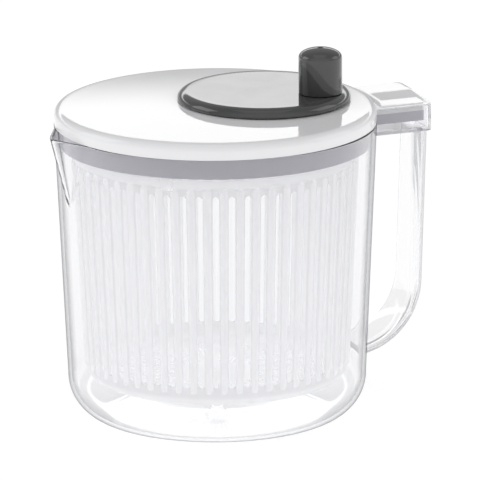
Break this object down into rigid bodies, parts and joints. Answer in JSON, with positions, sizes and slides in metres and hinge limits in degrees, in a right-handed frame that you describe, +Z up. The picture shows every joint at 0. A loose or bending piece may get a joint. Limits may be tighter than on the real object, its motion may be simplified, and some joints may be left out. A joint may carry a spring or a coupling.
{
  "type": "salad spinner",
  "caption": "Salad spinner: clear jug with spout and handle, slotted basket inside, white lid with an off-centre crank disc and knob geared to spin the basket.",
  "frame": {"origin": "on the jug's axis, in the plane of its flat base", "axes": "+Z up along the jug's and the basket's axis, +X towards the handle, -X towards the spout"},
  "size_m": [0.2533, 0.2066, 0.2405],
  "materials": {
    "clear_plastic": "clear polished",
    "white_plastic": "gloss",
    "milky_plastic": "satin translucent",
    "dark_grey_plastic": "gloss",
    "acetal": "satin",
    "steel": "satin"
  },
  "bodies": {
    "jug": {"jug": "clear_plastic"},
    "lid": {"lid_shell": "white_plastic", "gear_housing": "white_plastic", "housing_screw_1": "steel", "housing_screw_2": "steel", "housing_screw_3": "steel", "housing_screw_4": "steel", "crank_bush": "acetal", "shaft_bush": "acetal"},
    "crank": {"crank_disc": "dark_grey_plastic", "ring_gear": "acetal", "gear_screw_1": "steel", "gear_screw_2": "steel", "gear_screw_3": "steel", "crank_washer": "steel", "crank_screw": "steel", "knob_pin": "steel", "knob_washer": "acetal"},
    "knob": {"knob": "dark_grey_plastic"},
    "drive": {"pinion": "acetal", "pinion_screw": "steel", "drive_shaft": "steel", "drive_plate": "milky_plastic", "drive_screw": "steel"},
    "pivot_cup": {"pivot_cup": "acetal"},
    "basket": {"basket": "milky_plastic"}
  },
  "joints": [
    {"name": "lid_lift", "type": "slide", "parent": "jug", "child": "lid", "axis": [0, 0, 1], "range_m": [0, 0.3]},
    {"name": "crank_turn", "type": "hinge", "parent": "lid", "child": "crank", "pos_m": [0.0336, 0, 0.2], "axis": [0, 0, 1], "continuous": true},
    {"name": "knob_spin", "type": "hinge", "parent": "crank", "child": "knob", "pos_m": [0.06339, -0.02245, 0.22], "axis": [0, 0, 1], "continuous": true},
    {"name": "drive_turn", "type": "hinge", "parent": "lid", "child": "drive", "pos_m": [0, 0, 0.19], "axis": [0, 0, 1], "continuous": true},
    {"name": "basket_lift", "type": "slide", "parent": "jug", "child": "pivot_cup", "axis": [0, 0, 1], "range_m": [0, 0.15]},
    {"name": "basket_turn", "type": "hinge", "parent": "pivot_cup", "child": "basket", "pos_m": [0, 0, 0.025], "axis": [0, 0, 1], "continuous": true}
  ],
  "couplings": [
    {"joint": "drive_turn", "follows": "crank_turn", "ratio": 4},
    {"joint": "basket_turn", "follows": "crank_turn", "ratio": 4},
    {"joint": "basket_lift", "follows": "lid_lift", "ratio": 0.5}
  ]
}
